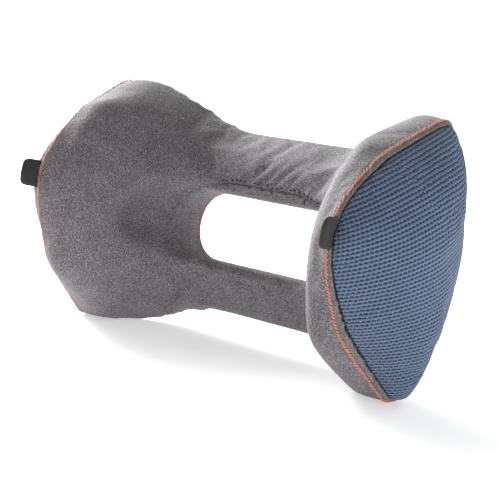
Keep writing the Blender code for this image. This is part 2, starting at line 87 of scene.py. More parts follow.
# Skin and its simulation as cloth
STATIONS, AROUND, DOME_RINGS = 91, 144, 18
VOXEL, COARSE_VOXEL = 0.005, 0.006
SWELL = 0.0012  # the skin starts this much under the form, as the simulation swells it
SWELL_CAP = 0.0035
HOLD, HOLD_FADE = 1.4, 0.009  # how firmly a seam holds the skin, and over what width that fades
CLOTH_FRAMES = 20
CLOTH = {
    "quality": 6, "mass": 0.3, "tension_stiffness": 18, "compression_stiffness": 18, "shear_stiffness": 8,
    "bending_stiffness": 0.6, "use_pressure": True, "uniform_pressure_force": 4, "shrink_min": -0.012,
}
FOAM_INSET = 0.005

# Seams
REAR_SEAM_V = 14 / 3  # outline position of the rear seams
REAR_DISH = 0.012  # how far the surface that parts front from back passes inside the back
SEAM_DEPTH, SEAM_WIDTH = 0.0011, 0.0034
MESH_STEP, MESH_STEP_WIDTH = 0.0015, 0.009  # the mesh lies lower than the knit beside the end seams
TURN_IN = 0.004

# Stitches
STITCH_INSET = 0.0034
REAR_STITCH_V = 13 / 3
STITCH_GROOVE = (0.0008, 0.0013)
STITCH_LENGTH, STITCH_PITCH, STITCH_RADIUS = 0.0040, 0.0030, 0.00078
STITCH_SLANT = math.radians(34)
LINING_PITCH = 0.0054

# Webbing tabs
TAB_ANGLE = math.radians(20)
TAB_WIDTH, TAB_REACH, TAB_ROOT = 0.025, 0.0125, 0.0035
TAB_PLY, TAB_SLIT = 0.0026, 0.0006
TAB_CORNER = 0.0045
SELVEDGE_SLIM, SELVEDGE_WIDTH = 0.30, 0.0012

# Zip
ZIP_Z = -0.055
ZIP_HALF = 0.090
WINDOW_HALF, WINDOW_HEIGHT = 0.0960, 0.012
WINDOW_GROOVE = (0.0010, 0.0025)
BACK_Y = WAIST_SETBACK - 0.01  # what lies behind this is on the waist's back
TAPE_PLY, TAPE_GAP = 0.0006, 0.0002
TAPE_UNDER, TAPE_END_UNDER = 0.004, 0.003  # how far the tape runs on under the mesh
CORD_PLACE, CORD_HEIGHT, CORD_WIDTH = 0.0040, 0.0003, 0.0005
TOOTH_PITCH, TOOTH_HEIGHT, TOOTH_REACH = 0.0014, 0.0016, 0.0030
WIRE, NOSE_FAT = 0.00034, 1.35
TOOTH_STEPS, WIRE_SIDES = 14, 6

# Air mesh: its holes lie along slanting rows, and every other row is shifted by half a hole
HOLE_PITCH, ROW_PITCH = 0.0032, 0.0033
HOLE_SIZE = (0.0037, 0.0023)
HOLE_SLANT = 0.62

# Shades from dark to light, each at its place on a ramp
KNIT_SHADES = (
    (0.34, (0.020, 0.018, 0.020)), (0.45, (0.088, 0.079, 0.086)),
    (0.54, (0.180, 0.164, 0.175)), (0.66, (0.43, 0.405, 0.42)),
)
# the darkest of these are painted shade inside the mesh's holes
MESH_SHADES = (
    (0.12, (0.006, 0.009, 0.018)), (0.34, (0.024, 0.039, 0.076)),
    (0.58, (0.074, 0.118, 0.208)), (0.88, (0.20, 0.275, 0.41)),
)
# painted shade: the dark colours that the knit and the mesh take in the creases of their seams
KNIT_CREASE_SHADE, MESH_CREASE_SHADE = (0.010, 0.009, 0.010), (0.004, 0.004, 0.006)

# Light: how bright the air around and the white paper are, the sun, and the area lights
SKY, PAPER_GLOW = 0.37, 0.46
PAPER_WHITE = 0.85
SUN_PLACE, SUN_POWER, SUN_SPREAD = (-1.5, 0.35, 0.9), 2.1, math.radians(60)
WINDOWS = (  # name, place, target, size and power
    ("left_window", (-1.5, 0.35, 0.9), (0, 0, 0.12), (1.0, 1.0), 88),
    ("rear_window", (0.6, 1.2, 1.2), (0.1, 0, 0.12), (0.9, 0.9), 6),
    ("right_glow", (1.3, -0.15, 0.05), (0.2, -0.02, 0.05), (0.9, 0.12), 8),
)

# Camera, in degrees, metres and millimetres
CAMERA_AZIMUTH, CAMERA_ELEVATION, CAMERA_ROLL = 46.34, 10.71, 0.88
CAMERA_DISTANCE = 1.4282
CAMERA_LENS = 116.8
CAMERA_SHIFT = (-0.0096, -0.0415)

MIDDLE = Vector((0, 0.0281531, 0.1069092))  # where the upright form's origin stands on the floor plan
STANCE = Matrix.Translation(MIDDLE) @ Matrix.Rotation(-LEAN, 4, "X")
UP = np.array([0, -math.sin(LEAN), math.cos(LEAN)])
FLOOR = -MIDDLE.z


# ---- the form ----

def ease(value, start, end):
    t = np.clip((value - start) / (end - start), 0, 1)
    return 0.5 - 0.5 * np.cos(np.pi * t)


def unit(vector):
    return vector / np.linalg.norm(vector, axis=-1, keepdims=True)


def control_points(u):
    """The points that shape the outline at u, a share of SEAM_X, from the front edge over the top."""
    flare = ease(u ** FLARE_POWER, FLARE_START, CREST)
    past_crest = np.clip((u - CREST) / (1 - CREST), 0, 1) ** 2
    sweep = ease(u, FLAT_BACK, 1.0)

    def blended(waist, lobe, seam):
        return waist + (lobe - waist) * flare + (seam - lobe) * past_crest

    half = blended(WAIST_HEIGHT, LOBE_HEIGHT, SEAM_HEIGHT) / 2
    back_y = WAIST_SETBACK * (1 - sweep)
    front_y = -blended(WAIST_THICK - WAIST_SETBACK, LOBE_REACH, SEAM_REACH)
    full = blended(WAIST_FULL, LOBE_FULL, SEAM_FULL)
    slant = blended(0.0, LOBE_SLANT, SEAM_SLANT)
    roundness = WAIST_ROUND + (1 - WAIST_ROUND) * flare
    at_front, at_top, at_foot = (
        lobe * roundness + (seam - lobe) * past_crest for lobe, seam in zip(LOBE_ROUND, SEAM_ROUND)
    )
    apex, top, foot = np.array([[front_y, APEX_Z], [back_y, half], [back_y, -half]])
    rise, drop = unit(top - apex), unit(foot - apex)
    over = (apex + top) / 2 + (full + slant) * np.array([-rise[1], rise[0]])
    under = (apex + foot) / 2 + (full - slant) * np.array([drop[1], -drop[0]])
    behind = (top + foot) / 2 + np.array([BACK_BULGE * sweep, 0])

    def towards(corner, target, distance):
        return corner + distance * unit(target - corner)

    return np.array([
        apex, towards(apex, over, at_front), over, towards(top, over, at_top), top,
        towards(top, behind, at_top), behind, towards(foot, behind, at_foot), foot,
        towards(foot, under, at_foot), under, towards(apex, under, at_front),
    ])


def outline(u, v):
    """Points (y, z) at the positions v, an array, on the outline at u."""
    points = control_points(u)
    i = np.floor(v).astype(int)
    t = (v - i)[:, None]
    weights = ((1 - t) ** 3, 3 * t ** 3 - 6 * t ** 2 + 4, -3 * t ** 3 + 3 * t ** 2 + 3 * t + 1, t ** 3)
    return sum(w * points[(i + k - 1) % CONTROLS] for k, w in enumerate(weights)) / 6


def seam_sweep(z):
    """How much further out an end seam is at height z than at its middle."""
    return SEAM_SWEEP * (z / (LOBE_HEIGHT / 2)) ** 2


def flank_ring(share, v):
    """Points of the flank at share, -1 to 1 between the end seams."""
    u = abs(share)
    ring = np.empty((len(v), 3))
    ring[:, 1:] = outline(u, v)
    ring[:, 0] = math.copysign(1, share) * (u * SEAM_X + u ** 4 * seam_sweep(ring[:, 2]))
    return ring


def dome_ring(side, v, share):
    """Points of an end dome; share is 1 at its seam and 0 at its crown."""
    rim = flank_ring(side, v)
    centre = np.array([rim[:, 0].mean(), -DOME_MIDDLE * SEAM_REACH, APEX_Z / 2])
    ring = centre + (rim - centre) * share
    ring[:, 0] += side * END_DOME * (1 - share ** DOME_FULL)
    return ring


def form_rings():
    """The whole form as rings of points, from the left dome's crown to the right one's."""
    v = np.arange(AROUND) * CONTROLS / AROUND
    shares = np.cos(np.arange(1, DOME_RINGS + 1) / (DOME_RINGS + 0.5) * math.pi / 2)
    flank = [flank_ring(s, v) for s in np.linspace(-1, 1, STATIONS)]
    left = [dome_ring(-1, v, s) for s in shares]
    right = [dome_ring(1, v, s) for s in shares]
    return np.array(left[::-1] + flank + right)


def settled(points, depth=0.0):
    """Points pressed flat against the floor."""
    low = np.maximum(FLOOR + depth - points @ UP, 0)
    return points + low[:, None] * UP


def slot_distance(points):
    """How far each point is outside the slot's straight wall."""
    straight = SLOT_HALF_LENGTH - SLOT_HALF_HEIGHT
    x = np.maximum(np.abs(points[:, 0]) - straight, 0)
    return np.hypot(x, points[:, 2] - SLOT_Z) - SLOT_HALF_HEIGHT


REAR_X = np.linspace(0, 1, 60)
REAR_TOP = np.array([flank_ring(u, np.array([REAR_SEAM_V]))[0] for u in REAR_X])
REAR_FOOT = np.array([flank_ring(u, np.array([-REAR_SEAM_V]))[0] for u in REAR_X])


def past_end_seam(points):
    """How far each point is outside the nearer end seam."""
    return np.abs(points[:, 0]) - seam_sweep(points[:, 2]) - SEAM_X


def past_rear_seam(points):
    """How far each point is behind the surface that joins the two rear seams."""
    x = np.abs(points[:, 0])
    top = np.interp(x, REAR_TOP[:, 0], REAR_TOP[:, 1])
    foot = np.interp(x, REAR_FOOT[:, 0], REAR_FOOT[:, 1])
    height = np.interp(x, REAR_TOP[:, 0], REAR_TOP[:, 2])
    up = points[:, 2] / height
    inward = REAR_DISH * np.maximum(1 - up ** 2, -1)
    return points[:, 1] - foot - (top - foot) * ease(up, -1, 1) + inward


def lining_edge(x):
    """How far past the slot's wall the lining reaches over the slot's front."""
    return LINING_TOP + (LINING_LOW - LINING_TOP) * ease(np.abs(x), *LINING_TAPER)


def past_lining(points):
    """How far each point is outside the slot lining's edge."""
    over = ease(-points[:, 1], -WAIST_SETBACK, 0.0) * ease(points[:, 2], SLOT_Z, SLOT_Z + SLOT_HALF_HEIGHT)
    return slot_distance(points) - LINING_LOW - (lining_edge(points[:, 0]) - LINING_LOW) * over


def past_window(points):
    """How far each point of the back is outside the zip's window."""
    flat = np.maximum(np.abs(points[:, 0]) - WINDOW_HALF, np.abs(points[:, 2] - ZIP_Z) - WINDOW_HEIGHT / 2)
    return np.where(points[:, 1] > BACK_Y, flat, 1.0)


# ---- meshes ----

def coordinates(mesh):
    points = np.empty(len(mesh.vertices) * 3)
    mesh.vertices.foreach_get("co", points)
    return points.reshape(-1, 3)


def normals(mesh):
    values = np.empty(len(mesh.vertices) * 3)
    mesh.vertices.foreach_get("normal", values)
    return values.reshape(-1, 3)


def move_to(mesh, points):
    mesh.vertices.foreach_set("co", np.ascontiguousarray(points, dtype=np.float32).ravel())
    mesh.update()


def linked(name, data):
    made = bpy.data.objects.new(name, data)
    bpy.context.scene.collection.objects.link(made)
    return made


def closed_grid(name, rings):
    """A closed body through rings of points, capped at both ends."""
    bm = bmesh.new()
    rows = [[bm.verts.new(p) for p in ring] for ring in rings]
    for a, b in zip(rows, rows[1:]):
        for j in range(len(a)):
            k = (j + 1) % len(a)
            bm.faces.new((a[j], a[k], b[k], b[j]))
    for row in (rows[0], rows[-1]):
        centre = bm.verts.new(sum((v.co for v in row), Vector()) / len(row))
        for j in range(len(row)):
            bm.faces.new((row[j], row[(j + 1) % len(row)], centre))
    bmesh.ops.recalc_face_normals(bm, faces=bm.faces)
    mesh = bpy.data.meshes.new(name)
    bm.to_mesh(mesh)
    bm.free()
    return linked(name, mesh)


def mesh_of(name, verts, faces):
    mesh = bpy.data.meshes.new(name)
    mesh.from_pydata([tuple(v) for v in verts], [], faces)
    return mesh


def faced_out(mesh):
    """Turns the faces of a closed mesh outward and shades them smoothly."""
    bm = bmesh.new()
    bm.from_mesh(mesh)
    bmesh.ops.recalc_face_normals(bm, faces=bm.faces)
    bm.to_mesh(mesh)
    bm.free()
    mesh.shade_smooth()


def tree_of(places):
    tree = KDTree(len(places))
    for k, place in enumerate(places):
        tree.insert(place, k)
    tree.balance()
    return tree


def baked(made):
    """Replaces an object's mesh by the result of its modifiers."""
    depsgraph = bpy.context.evaluated_depsgraph_get()
    mesh = bpy.data.meshes.new_from_object(made.evaluated_get(depsgraph))
    made.modifiers.clear()
    made.data = mesh
    return made


def slot_cutter(wall):
    """The slot's own shape with its edges rounded, and its wall moved outward."""
    straight = SLOT_HALF_LENGTH - SLOT_HALF_HEIGHT
    turn = np.linspace(-np.pi / 2, np.pi / 2, 25)
    front = WAIST_SETBACK - WAIST_THICK

    def widened(depth, radius):
        inside = min(depth, radius * 0.98)
        return radius - math.sqrt(radius ** 2 - inside ** 2)

    levels = []
    for share in np.linspace(1, 0, 12):
        depth = share * END_MOUTH
        levels.append((front + FRONT_MOUTH - depth, widened(depth, FRONT_MOUTH), widened(depth, END_MOUTH)))
    for angle in np.radians((0, 20, 40, 60, 80)):
        wider = REAR_MOUTH * (1 - math.cos(angle))
        levels.append((WAIST_SETBACK - REAR_MOUTH * (1 - math.sin(angle)), wider, wider))
    levels = [(-CUTTER_REACH, *levels[0][1:])] + levels + [(CUTTER_REACH, *levels[-1][1:])]
    rings = []
    for y, wider, longer in levels:
        x = straight + (SLOT_HALF_HEIGHT + wall + longer) * np.cos(turn)
        z = (SLOT_HALF_HEIGHT + wall + wider) * np.sin(turn)
        right = np.stack([x, np.full_like(x, y), SLOT_Z + z], axis=1)
        left = np.stack([-x, np.full_like(x, y), SLOT_Z - z], axis=1)
        rings.append(np.concatenate([right, left]))
    return closed_grid("slot_cutter", rings)


def cushion_skin(name, inset, voxel, slot_wall=0.0):
    """The whole cushion as one skin with the slot through it, in even faces."""
    body = closed_grid(name, form_rings())
    points = coordinates(body.data) - inset * normals(body.data)
    move_to(body.data, settled(points, inset))
    cutter = slot_cutter(slot_wall)
    cut = body.modifiers.new("slot", "BOOLEAN")
    cut.operation, cut.solver, cut.object = "DIFFERENCE", "EXACT", cutter
    even = body.modifiers.new("even", "REMESH")
    even.mode, even.voxel_size = "VOXEL", voxel
    baked(body)
    bpy.data.objects.remove(cutter, do_unlink=True)
    softened(body.data, 6)
    return body


def softened(mesh, rounds):
    """Evens out the steps that remeshing leaves, in and out by turns so that the form doesn't shrink."""
    bm = bmesh.new()
    bm.from_mesh(mesh)
    for k in range(rounds):
        bmesh.ops.smooth_vert(bm, verts=bm.verts, factor=0.5 if k % 2 == 0 else -0.52, use_axis_x=True,
                              use_axis_y=True, use_axis_z=True)
    bm.to_mesh(mesh)
    bm.free()


def puffed(skin):
    """Inflates the skin between its seams with a cloth simulation and keeps the result."""
    rest = coordinates(skin.data)
    off_middle = np.abs(rest[:, 2]) > 0.06
    sewn = np.minimum(np.abs(past_end_seam(rest)), np.abs(slot_distance(rest)))
    sewn = np.minimum(sewn, np.where(off_middle, np.abs(past_rear_seam(rest)), 1))
    held = np.clip(HOLD - sewn / HOLD_FADE, 0, 1)
    on_floor = rest @ UP < FLOOR + 0.004
    around_zip = (np.abs(rest[:, 0]) < 0.12) & (np.abs(rest[:, 2] - ZIP_Z) < 0.016) & (rest[:, 1] > 0.02)
    held[on_floor | around_zip] = 1
    pins = skin.vertex_groups.new(name="sewn")
    for k in np.nonzero(held > 0.02)[0]:
        pins.add([int(k)], float(held[k]), "REPLACE")
    cloth = skin.modifiers.new("cloth", "CLOTH")
    cloth.settings.vertex_group_mass = "sewn"
    cloth.settings.effector_weights.gravity = 0
    for setting, value in CLOTH.items():
        setattr(cloth.settings, setting, value)
    cloth.point_cache.frame_start, cloth.point_cache.frame_end = 1, CLOTH_FRAMES
    scene = bpy.context.scene
    for step in range(1, CLOTH_FRAMES + 1):
        scene.frame_set(step)
    depsgraph = bpy.context.evaluated_depsgraph_get()
    result = coordinates(skin.evaluated_get(depsgraph).data)
    skin.modifiers.clear()
    skin.vertex_groups.clear()
    scene.frame_set(1)
    moved = result - rest
    far = np.linalg.norm(moved, axis=1)
    moved *= (SWELL_CAP * np.tanh(far / SWELL_CAP) / np.maximum(far, 1e-9))[:, None]
    move_to(skin.data, rest + moved)


def refined(skin):
    divide = skin.modifiers.new("finer", "SUBSURF")
    divide.levels = divide.render_levels = 1
    baked(skin)


def cut_along(bm, distance):
    """Splits the faces of a mesh where a distance, worked out for an array of points, is nought.

    A vertex that is already near the line moves onto it, so that no sliver of a face is left.
    """
    away = distance(np.array([v.co for v in bm.verts]))
    bm.verts.index_update()
    on_line = {}
    for edge in bm.edges:
        a, b = (v.index for v in edge.verts)
        if away[a] * away[b] < 0:
            share = away[a] / (away[a] - away[b])
            near = a if share < 0.15 else b if share > 0.85 else None
            if near is not None and near not in on_line:
                start, end = (v.co.copy() for v in edge.verts)
                on_line[near] = start.lerp(end, share)
    verts = list(bm.verts)
    for index, place in on_line.items():
        verts[index].co = place
        away[index] = 0
    touched = [verts[index] for index in on_line]
    for edge in list(bm.edges):
        a, b = (v.index for v in edge.verts)
        if away[a] * away[b] < 0:
            share = away[a] / (away[a] - away[b])
            _, made = bmesh.utils.edge_split(edge, edge.verts[0], share)
            touched.append(made)
    bmesh.ops.connect_verts(bm, verts=touched, check_degenerate=False)
    bm.normal_update()


def sunk(mesh, amounts):
    """Moves each vertex into the surface by its amount."""
    move_to(mesh, coordinates(mesh) - amounts[:, None] * normals(mesh))


def groove(distance, depth, width):
    """How deep a soft groove is at a distance from its middle."""
    return depth * np.exp(-(distance / width) ** 2)


def features(points):
    """How deep the sewing pulls each point of the skin in."""
    end = past_end_seam(points)
    rear = past_rear_seam(points)
    lining = past_lining(points)
    wall = slot_distance(points)
    deep = groove(end, SEAM_DEPTH, SEAM_WIDTH) + groove(end + STITCH_INSET, *STITCH_GROOVE)

    flank = ease(-end, -0.001, 0.002)
    off_slot = ease(np.abs(points[:, 2] - SLOT_Z), 0.045, 0.060)
    deep += flank * off_slot * groove(rear, SEAM_DEPTH, SEAM_WIDTH)

    in_front = ease(-points[:, 1], -0.02, -0.005) * (np.abs(points[:, 0]) < 0.16)
    behind = ease(points[:, 1], 0.015, 0.022) * (np.abs(wall) < 0.02)
    on_wall = (wall < 0.006) * (points[:, 2] > SLOT_Z) * ease(-points[:, 1], -0.03, -0.01)
    deep += in_front * groove(lining, *LINING_GROOVE)
    deep += behind * groove(lining, *REAR_LINING_GROOVE)
    deep += on_wall * groove(points[:, 0] - BUTT_X, *BUTT_GROOVE)
    deep += groove(past_window(points), *WINDOW_GROOVE) * (points[:, 1] > BACK_Y)

    above = ease(lining, 0.0, 0.003) * ease(-lining, -0.030, -0.010) * (points[:, 2] > 0.02) * in_front
    along = points[:, 0] - PUCKER_SLANT * lining
    folds = sum(groove(along - x, depth, PUCKER_WIDTH) for x, depth in PUCKERS)
    return deep + above * folds


def flank_past_lining(points):
    """How far each point is outside the lining's edge, with the ends left out."""
    return np.where(past_end_seam(points) < 0.004, past_lining(points), 1.0)


def flank_past_rear_seam(points):
    """How far each point is behind the rear seams, with the ends and the slot left out."""
    on_flank = (past_end_seam(points) < 0.004) & (past_lining(points) > -0.003)
    return np.where(on_flank, past_rear_seam(points), 1.0)


class Panels:
    """The skin's faces, sorted into the cloth panels that they belong to."""

    def __init__(self, skin):
        bm = bmesh.new()
        bm.from_mesh(skin.data)
        for distance in (past_end_seam, flank_past_lining, flank_past_rear_seam, past_window):
            cut_along(bm, distance)
        bm.to_mesh(skin.data)
        bm.free()
        sunk(skin.data, features(coordinates(skin.data)))
        self.mesh = skin.data
        self.points = coordinates(self.mesh)
        self.faces = [tuple(p.vertices) for p in self.mesh.polygons]
        centres = np.array([p.center for p in self.mesh.polygons])
        end = past_end_seam(centres) > 0
        lining = ~end & (past_lining(centres) < 0)
        back = ~end & ~lining & (past_rear_seam(centres) > 0)
        self.masks = {
            "left_end": end & (centres[:, 0] < 0),
            "right_end": end & (centres[:, 0] > 0),
            "lining": lining,
            "back": back & (past_window(centres) > 0),
            "front": ~end & ~lining & ~back,
        }
        self.surface = BVHTree.FromPolygons([Vector(p) for p in self.points], self.faces)

    def nearest(self, points):
        """The skin's points and normals nearest to an array of points."""
        found = [self.surface.find_nearest(Vector(p)) for p in points]
        return np.array([f[0] for f in found]), np.array([f[1] for f in found])

    def panel(self, name, part):
        """One panel as a mesh of its own, its raw edges turned in under the seam."""
        chosen = [self.faces[k] for k in np.nonzero(self.masks[part])[0]]
        used = sorted({v for face in chosen for v in face})
        place = {v: k for k, v in enumerate(used)}
        mesh = bpy.data.meshes.new(name)
        mesh.from_pydata(self.points[used].tolist(), [], [[place[v] for v in face] for face in chosen])
        if part in ("left_end", "right_end"):
            sunk(mesh, groove(past_end_seam(coordinates(mesh)), MESH_STEP, MESH_STEP_WIDTH))
        bm = bmesh.new()
        bm.from_mesh(mesh)
        bm.normal_update()
        edges = [e for e in bm.edges if e.is_boundary]
        inward = {v: -v.normal.copy() for e in edges for v in e.verts}
        grown = bmesh.ops.extrude_edge_only(bm, edges=edges)["geom"]
        sources = list(inward)
        tree = tree_of([vert.co for vert in sources])
        for vert in grown:
            if isinstance(vert, bmesh.types.BMVert):
                _, k, _ = tree.find(vert.co)
                vert.co += inward[sources[k]] * TURN_IN
        bm.to_mesh(mesh)
        bm.free()
        mesh.shade_smooth()
        return linked(name, mesh)


# ---- cloth coordinates ----

def cloth_guide():
    """Points over the form with their place along the cloth, for the front and for the two ends."""
    v = np.linspace(-CONTROLS / 2, CONTROLS / 2, 361)
    front, front_cloth = [], []
    for share in np.linspace(-1, 1, 161):
        ring = flank_ring(share, v)
        steps = np.linalg.norm(np.diff(ring, axis=0), axis=1)
        arc = np.concatenate([[0], np.cumsum(steps)])
        arc -= arc[len(v) // 2]
        front.append(ring)
        front_cloth.append(np.stack([ring[:, 0], arc, np.zeros(len(v))], axis=1))
    ends, end_cloth = [], []
    for side in (-1, 1):
        crown = dome_ring(side, v, 0.0)[0]
        from_crown = flank_ring(side, v)[:, 1:] - crown[1:]
        flat = unit(from_crown)
        for share in np.linspace(0, 1, 61):
            reach = np.linalg.norm(from_crown, axis=1) * (share + 0.10 * share ** 3)  # longer over the dome
            ends.append(dome_ring(side, v, share))
            end_cloth.append(np.stack([flat[:, 0] * reach, flat[:, 1] * reach, np.zeros(len(v))], axis=1))
    front_guide = np.concatenate(front), np.concatenate(front_cloth)
    end_guide = np.concatenate(ends), np.concatenate(end_cloth)
    return front_guide, end_guide


def lay_cloth(mesh, guide, past_seam):
    """Stores where each vertex lies on its cloth, from the nearest guide points, and how far past a seam."""
    places, cloth = guide
    tree = tree_of(places)
    values = np.empty((len(mesh.vertices), 3))
    for k, vert in enumerate(mesh.vertices):
        near = tree.find_n(vert.co, 3)
        weights = np.array([1 / (n[2] + 1e-5) for n in near])
        values[k] = weights @ cloth[[n[1] for n in near]] / weights.sum()
    values[:, 2] = past_seam(coordinates(mesh))
    store(mesh, values)


def store(mesh, values):
    layer = mesh.attributes.new("cloth", "FLOAT_VECTOR", "POINT")
    layer.data.foreach_set("vector", values.astype(np.float32).ravel())


# ---- thread, tabs and zip ----

def resampled(path, pitch, closed):
    """Points at even steps of about the pitch along a path."""
    if closed:
        path = np.concatenate([path, path[:1]])
    steps = np.linalg.norm(np.diff(path, axis=0), axis=1)
    length = np.concatenate([[0], np.cumsum(steps)])
    count = max(int(length[-1] / pitch), 2)
    at = (np.arange(count) + 0.5) * length[-1] / count
    return np.stack([np.interp(at, length, path[:, k]) for k in range(3)], axis=1)


def stitches(name, path, panels, closed=False, pitch=STITCH_PITCH, slant=STITCH_SLANT):
    """A row of stitches along a path, each a twisted thread that dips into the cloth at both ends."""
    spots = resampled(path, pitch, closed)
    before = np.roll(spots, 1, axis=0)
    after = np.roll(spots, -1, axis=0)
    if not closed:
        before[0], after[-1] = spots[0], spots[-1]
    along = unit(after - before)
    spots, outward = panels.nearest(spots)
    outward = unit(outward)
    aside = unit(np.cross(outward, along))
    lie = math.cos(slant) * along + math.sin(slant) * aside
    across = np.cross(outward, lie)
    rings, sides = 9, 8
    verts, faces, cloth = [], [], []
    share = np.linspace(-1, 1, rings)
    angle = np.arange(sides) * 2 * math.pi / sides
    thick = STITCH_RADIUS * np.sqrt(np.clip(1 - (share * 0.97) ** 4, 0.03, 1))
    height = STITCH_RADIUS * (0.75 - 1.5 * share ** 4)
    for k in range(len(spots)):
        start = k * rings * sides
        for r in range(rings):
            middle = spots[k] + lie[k] * STITCH_LENGTH / 2 * share[r] + outward[k] * height[r]
            for a in angle:
                verts.append(middle + thick[r] * (math.cos(a) * across[k] + math.sin(a) * outward[k]))
                cloth.append((share[r] * STITCH_LENGTH / 2, a / (2 * math.pi), k))
        for r in range(rings - 1):
            for s in range(sides):
                t = (s + 1) % sides
                row = start + r * sides
                faces.append((row + s, row + t, row + sides + t, row + sides + s))
        faces.append(tuple(start + s for s in reversed(range(sides))))
        faces.append(tuple(start + (rings - 1) * sides + s for s in range(sides)))
    mesh = mesh_of(name, verts, faces)
    mesh.shade_smooth()
    store(mesh, np.array(cloth))
    return linked(name, mesh)


def end_stitch_path(side):
    v = np.linspace(1 - REAR_SEAM_V, REAR_SEAM_V - 1, 400) * (REAR_SEAM_V - 0.12) / (REAR_SEAM_V - 1)
    path = flank_ring(side * (1 - STITCH_INSET / SEAM_X), v)
    return path[path @ UP > FLOOR + FOOT_PRESS * 0.35]


def rear_stitch_path(sign):
    shares = np.linspace(-0.93, 0.93, 200)
    return np.array([flank_ring(s, np.array([sign * REAR_STITCH_V]))[0] for s in shares])


def slot_stitch_path():
    straight = SLOT_HALF_LENGTH - SLOT_HALF_HEIGHT
    turn = np.linspace(-np.pi / 2, np.pi / 2, 40)
    x, z = straight + SLOT_HALF_HEIGHT * np.cos(turn), SLOT_Z + SLOT_HALF_HEIGHT * np.sin(turn)
    right = np.stack([x, np.full_like(x, SLOT_STITCH_Y), z], axis=1)
    left = right * (-1, 1, 1)
    left[:, 2] = 2 * SLOT_Z - right[:, 2]
    return np.concatenate([right, left])


def lining_seam_path():
    """Along the top of the slot's front mouth, where the lining meets the cover."""
    x = np.linspace(-0.055, SLOT_HALF_LENGTH - SLOT_HALF_HEIGHT, 200)
    rise = lining_edge(x) + STITCH_RADIUS
    y = WAIST_SETBACK - WAIST_THICK + FRONT_MOUTH - np.sqrt(FRONT_MOUTH ** 2 - (FRONT_MOUTH - rise) ** 2)
    return np.stack([x, y, SLOT_Z + SLOT_HALF_HEIGHT + rise], axis=1)


def webbing_tab(name, side):
    """Webbing folded in two and caught in the end seam, with soft selvedges and a round fold."""
    v = np.linspace(-1.5, 1.5, 601)
    seam = flank_ring(side, v)
    middle = seam[np.argmin(seam[:, 1])]
    out = np.array([side * math.sin(TAB_ANGLE), -math.cos(TAB_ANGLE), 0])
    across = np.array([side * math.cos(TAB_ANGLE), math.sin(TAB_ANGLE), 0])
    thick = TAB_PLY + TAB_SLIT / 2
    fold = TAB_REACH - thick
    turn = np.linspace(0, math.pi, 13)
    leg = np.linspace(-TAB_ROOT, fold, 15)
    upper = [(a, thick) for a in leg[:-1]]
    lower = [(a, -thick) for a in leg[:-1][::-1]]
    bend = [(fold + thick * math.sin(t), thick * math.cos(t)) for t in turn]
    slit_in = [(a, -TAB_SLIT / 2) for a in leg[1:]]
    slit_out = [(a, TAB_SLIT / 2) for a in leg[1:][::-1]]
    profile = np.array(upper + bend + lower + slit_in + slit_out)
    run = np.concatenate([[0], np.cumsum(np.linalg.norm(np.diff(profile, axis=0), axis=1))])
    steps = 33
    verts, faces, cloth = [], [], []
    for k in range(steps):
        share = 0.5 - 0.5 * math.cos(math.pi * k / (steps - 1))
        z = middle[2] + TAB_WIDTH * (share - 0.5)
        root = seam[np.argmin(np.abs(seam[:, 2] - z))].copy()
        root[2] = z
        edge = min(share, 1 - share) * TAB_WIDTH
        slim = 1 - SELVEDGE_SLIM * math.exp(-(edge / SELVEDGE_WIDTH) ** 2)
        shy = max(1 - edge / TAB_CORNER, 0)
        short = 1 - TAB_CORNER * (1 - math.sqrt(1 - shy ** 2)) / TAB_REACH
        for j, (a, b) in enumerate(profile):
            verts.append(root + out * (a * short if a > 0 else a) + across * b * slim)
            cloth.append((run[j], z, 0.0))
    count = len(profile)
    for k in range(steps - 1):
        for j in range(count):
            n = (j + 1) % count
            faces.append((k * count + j, k * count + n, (k + 1) * count + n, (k + 1) * count + j))
    for start in (0, (steps - 1) * count):
        ring = list(range(start, start + count))
        faces.append(tuple(ring if start else reversed(ring)))
    mesh = mesh_of(name, verts, faces)
    faced_out(mesh)
    mesh.set_sharp_from_angle(angle=math.radians(50))
    store(mesh, np.array(cloth))
    return linked(name + "_webbing", mesh)


def zip_tape(name, sign):
    """One side of the zip's tape, woven, with a raised cord of stitching beside the coil."""
    across = np.linspace(TAPE_GAP, WINDOW_HEIGHT / 2 + TAPE_UNDER, 25)
    along = np.linspace(-WINDOW_HALF - TAPE_END_UNDER, WINDOW_HALF + TAPE_END_UNDER, 181)
    tucked = 0.0009 * ease(across, 0.0050, 0.0065)
    height = groove(across - CORD_PLACE, CORD_HEIGHT, CORD_WIDTH) - tucked
    verts, faces, cloth = [], [], []
    for x in along:
        for k, z in enumerate(across):
            verts.append((x, WAIST_SETBACK - TAPE_PLY + height[k], ZIP_Z + sign * z))
            cloth.append((x, sign * z, 0.0))
    n = len(across)
    for i in range(len(along) - 1):
        for k in range(n - 1):
            faces.append((i * n + k, i * n + k + 1, (i + 1) * n + k + 1, (i + 1) * n + k))
    mesh = mesh_of(name, verts, faces)
    store(mesh, np.array(cloth))
    made = linked(name + "_weave", mesh)
    thicken = made.modifiers.new("ply", "SOLIDIFY")
    thicken.thickness = TAPE_PLY
    thicken.offset = -1
    baked(made)
    faced_out(made.data)
    return made


